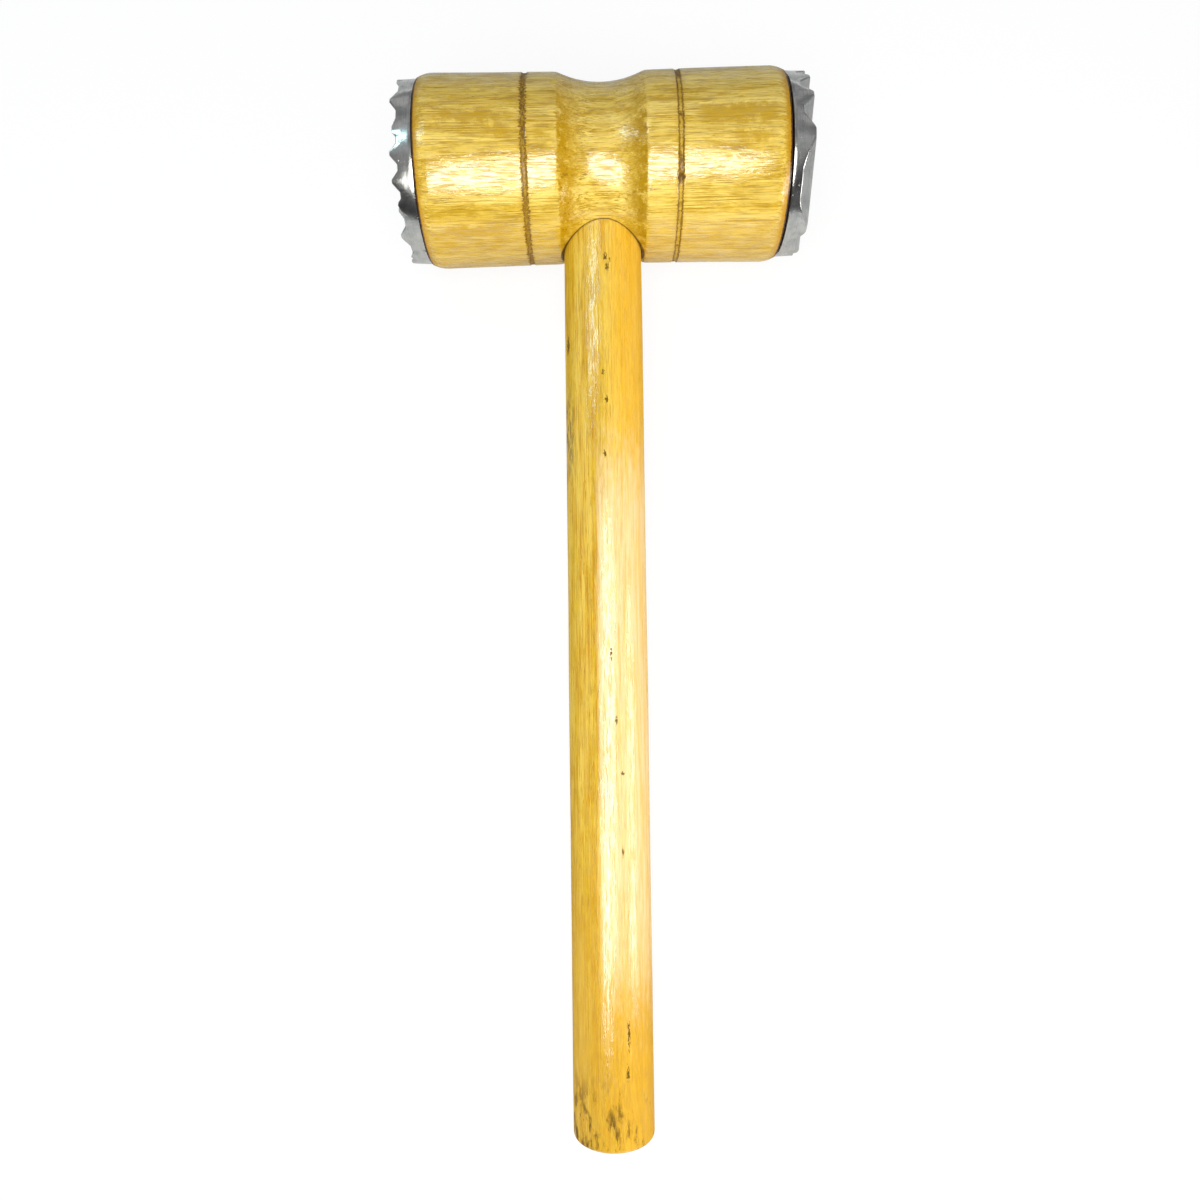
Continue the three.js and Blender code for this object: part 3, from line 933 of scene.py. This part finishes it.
ridge_pitch = 7.8 * mm
ridge_base = 6.1 * mm
ridge_flat = 1.2 * mm
ridge_height = 3 * mm
ridge_offset = 2.8 * mm
ridge_turn = math.radians(38.5)
coarse_thickness = 3.1 * mm
coarse_foot = 0.6 * mm
ridge_lines = tooth_lines(ridge_pitch, ridge_base, ridge_flat, ridge_offset)
plain_reach = 24.4 * mm
plain_step = 0.3 * mm
plain_lines = stations(-plain_reach, plain_reach, plain_step)
coarse_cap = cap_blank("ridged_face", coarse_thickness, coarse_foot, ridge_turn, ridge_lines, plain_lines)
ridges = {
    "Pitch": ridge_pitch,
    "Base": ridge_base,
    "Flat": ridge_flat,
    "Height": ridge_height,
    "Turn": ridge_turn,
    "Offset across": ridge_offset,
    "Offset along": 0.0,
    "Both ways": 0.0,
}
shaped(coarse_cap, cast_teeth, teeth_alike | ridges)

end_places = {}
for side, seam in ((-1, fine_seam), (1, coarse_seam)):
    foot = Matrix.Translation((side * (barrel_length / 2 + seam), 0, 0))
    end_places[side] = laid @ foot @ Matrix.Rotation(side * math.pi / 2, 4, "Y")
for side, cap, node in ((-1, fine_cap, "fine_cap"), (1, coarse_cap, "coarse_cap")):
    finished(cap, end_places[side], cap_crease_degrees)
    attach(cap, "root")
    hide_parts(node)


# Screws: countersunk slotted steel wood screws, one through each cast face into the barrel's end grain,
# with a plain neck and a thread that runs to the point.
screw_length = 25 * mm
screw_core_radius = 1.25 * mm
screw_point_length = 5 * mm
screw_neck = 8 * mm
thread_pitch = 1.35 * mm
slot_width = 0.9 * mm
slot_depth = 1 * mm
slot_reach = 9 * mm
screw_sides = 64
screw_dome = 0.02 * mm
thread_section = 0.38 * mm
thread_sunk = 0.1 * mm
steel_relief = 0.03 * mm


def screw_steel_finish():
    """Plain steel, a little dull and marked by turning."""
    material, shader, spot = new_finish("screw_steel", laid)
    film = grained(spot, 1.1, 1.1, 3, 3)
    steel_grey = (0.56, 0.56, 0.55, 1)
    tarnish = (0.3, 0.28, 0.26, 1)
    look = {
        "Metallic": 1,
        "Base Color": stained(steel_grey, tarnish, remap(film, 0.4, 0.7)),
        "Roughness": remap(film, 0.3, 0.7, 0.22, 0.45),
        "Normal": bumped(film, steel_relief),
    }
    fed(shader, look)
    return material


def thread_tree():
    """Winds a screw's thread round its core with a three-sided section and joins it on."""
    sizes = ["Turns", "Core radius", "Thread length", "Thread bottom", "Section radius"]
    tree, given = new_tree("screw_thread", sizes, "Steel")
    spiral = {
        "Resolution": 24,
        "Rotations": given["Turns"],
        "Start Radius": given["Core radius"],
        "End Radius": given["Core radius"],
        "Height": given["Thread length"],
    }
    spiral = added(tree, "GeometryNodeCurveSpiral", spiral).outputs["Curve"]
    section = {"Resolution": 3, "Radius": given["Section radius"]}
    section = added(tree, "GeometryNodeCurvePrimitiveCircle", section).outputs["Curve"]
    wound = {"Curve": spiral, "Profile Curve": section, "Fill Caps": True}
    wound = added(tree, "GeometryNodeCurveToMesh", wound).outputs[0]
    drop = added(tree, "ShaderNodeCombineXYZ", {"Z": given["Thread bottom"]}).outputs[0]
    lowered = added(tree, "GeometryNodeTransform", {"Geometry": wound, "Translation": drop})
    joined = added(tree, "GeometryNodeJoinGeometry", {0: lowered.outputs[0]})
    tree.links.new(given["Geometry"], joined.inputs[0])
    return end_tree(tree, joined.outputs[0], given["Steel"])


def screw_blank(name):
    """The turned and slotted screw without its thread: point down, the top of its head at z = 0."""
    cone_top = -screw_head_edge
    cone_foot = cone_top - (screw_head_radius - screw_shank_radius)
    profile = [
        (screw_core_radius * 0.5, -screw_length + screw_point_length * 0.4),
        (screw_core_radius, -screw_length + screw_point_length),
        (screw_core_radius, -screw_neck - 0.4 * mm),
        (screw_shank_radius, -screw_neck),
        (screw_shank_radius, cone_foot),
        (screw_head_radius - 0.04 * mm, cone_top - 0.04 * mm),
        (screw_head_radius, cone_top),
        (screw_head_radius, -0.08 * mm),
        (screw_head_radius - 0.08 * mm, 0),
        (screw_head_radius * 0.5, screw_dome),
    ]
    rings = [[Vector((0, 0, -screw_length))]]
    for radius, z in profile:
        around = [2 * math.pi * index / screw_sides for index in range(screw_sides)]
        rings.append([Vector((radius * math.cos(a), radius * math.sin(a), z)) for a in around])
    rings.append([Vector((0, 0, screw_dome))])
    slot_rings = [[Vector((0, 0, -slot_depth))]]
    for z in (-slot_depth, slot_depth):
        corners = ((-1, -1), (1, -1), (1, 1), (-1, 1))
        slot_rings.append([Vector((x * slot_reach, y * slot_width / 2, z)) for x, y in corners])
    slot_rings.append([Vector((0, 0, slot_depth))])
    return carved(skin(name, rings), skin("slot", slot_rings))


screw_steel = screw_steel_finish()
screw_thread = thread_tree()
thread_length = screw_length - screw_point_length * 0.5 - screw_neck
thread = {
    "Turns": thread_length / thread_pitch,
    "Core radius": screw_core_radius + thread_sunk,
    "Thread length": thread_length,
    "Thread bottom": -screw_length + screw_point_length * 0.5,
    "Section radius": thread_section,
    "Steel": screw_steel,
}
for side, thickness, slot_turn, node in (
    (-1, fine_thickness, 0.5, "fine_cap_screw"),
    (1, coarse_thickness, 1.9, "coarse_cap_screw"),
):
    screw = screw_blank(node.replace("cap", "face"))
    shaped(screw, screw_thread, thread)
    seated = Matrix.Translation((0, 0, thickness - screw_sunk)) @ Matrix.Rotation(slot_turn, 4, "Z")
    finished(screw, end_places[side] @ seated)
    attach(screw, "root")
    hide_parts(node)


# Table: a plain pale sheet that shows almost white to the camera and keeps the mallet's shadow.
table_half = 1.2
table_mesh = bpy.data.meshes.new("pale_table")
corners = [(x * table_half, y * table_half, 0) for x, y in ((-1, -1), (1, -1), (1, 1), (-1, 1))]
table_mesh.from_pydata(corners, [], [(0, 1, 2, 3)])
table = bpy.data.objects.new("pale_table", table_mesh)
bpy.context.scene.collection.objects.link(table)
table_white = bpy.data.materials.new("table_white")
table_white.use_nodes = True
tree = table_white.node_tree
sheet_grey = (0.62, 0.62, 0.62, 1)
matt = fed(tree.nodes["Principled BSDF"], {"Base Color": sheet_grey, "Roughness": 0.9})
glow = added(tree, "ShaderNodeEmission", {"Strength": 1.12})
rays = tree.nodes.new("ShaderNodeLightPath").outputs
in_view = larger(rays["Is Camera Ray"], rays["Is Transmission Ray"])
in_view = times_plus(rays["Is Glossy Ray"], 0.22, in_view)
lifted = {0: times(in_view, 0.78), 1: matt.outputs[0], 2: glow.outputs[0]}
lifted = added(tree, "ShaderNodeMixShader", lifted).outputs[0]
fed(tree.nodes["Material Output"], {"Surface": lifted})
table_mesh.materials.append(table_white)


# Light: an oval lamp close above the handle, a small panel low beside it on the right, a cool one high up
# behind on the left, and a dim room. What the gloss mirrors of the room is dimmer in front than behind.
def panel(name, middle, away, size, power, colour, shape="RECTANGLE", roll=0):
    """A flat light, its middle given from the barrel's middle, that shines the opposite way to away."""
    light = bpy.data.lights.new(name, "AREA")
    light.shape = shape
    light.size, light.size_y = size
    light.energy = power
    light.color = colour
    lamp = bpy.data.objects.new(name, light)
    turned = Vector(away).to_track_quat("Z", "Y").to_matrix().to_4x4() @ Matrix.Rotation(roll, 4, "Z")
    lamp.matrix_world = Matrix.Translation(barrel_middle + Vector(middle)) @ turned
    lamp.visible_camera = False
    bpy.context.scene.collection.objects.link(lamp)


up = (0, 0, 1)
warm_white = (1, 0.98, 0.93)
side_white = (1, 0.985, 0.96)
window_blue = (0.62, 0.92, 1)
near_roll = math.radians(60)
panel("near_light", (-0.04, -0.242, 0.35), up, (0.39, 0.225), 1.2, warm_white, "ELLIPSE", near_roll)
panel("side_light", (0.31, -0.235, 0.14), (0.9, 0, 0.1), (0.25, 0.14), 0.48, side_white)
panel("window_light", (-0.66, 0.32, 1.0), up, (0.66, 0.2), 2.1, window_blue)

world = bpy.data.worlds.new("soft_room")
world.use_nodes = True
bpy.context.scene.world = world
tree = world.node_tree
direction = tree.nodes.new("ShaderNodeTexCoord").outputs["Generated"]
front_to_back, upwards = added(tree, "ShaderNodeSeparateXYZ", {0: direction}).outputs[1:]
rays = tree.nodes.new("ShaderNodeLightPath").outputs
lighting = remap(front_to_back, -1, 0.2, 1.24, 0.2)
mirrored = remap(front_to_back, -0.85, 0.1, 0.07, 0.34)
uneven = remap(grained(direction, 2.4, 2.4, 2), 0.35, 0.65, 0.5, 1.5)
mirrored = times(times(mirrored, uneven), rays["Is Glossy Ray"])
level = times_plus(lighting, minus(1, rays["Is Glossy Ray"]), mirrored)
in_view = times(rays["Is Glossy Ray"], remap(upwards, 0.06, 0.02))
in_view = larger(larger(in_view, rays["Is Camera Ray"]), rays["Is Transmission Ray"])
room = {"Strength": larger(level, times(in_view, 0.92)), "Color": (0.98, 0.99, 1, 1)}
fed(tree.nodes["Background"], room)


# Camera: hand-held above the mallet, level with the middle of the handle and tipped a little forward.
# Its place and turns are in the mallet's own frame, and its lens was found from the photograph.
photo_width = 1200
focal_pixels = 930
sensor_width = 36
camera_place = Vector((-3.35, -138.35, 260.75)) * mm
camera_turns = Euler((math.radians(3.191), math.radians(-0.025), math.radians(-1.281)), "ZXY")
camera_data = bpy.data.cameras.new("camera")
camera_data.sensor_width = sensor_width
camera_data.lens = focal_pixels / photo_width * sensor_width
camera_data.clip_start = 0.01
camera = bpy.data.objects.new("camera", camera_data)
camera.matrix_world = laid @ Matrix.Translation(camera_place) @ camera_turns.to_matrix().to_4x4()
bpy.context.scene.collection.objects.link(camera)
bpy.context.scene.camera = camera
bpy.context.scene.view_settings.view_transform = "Standard"
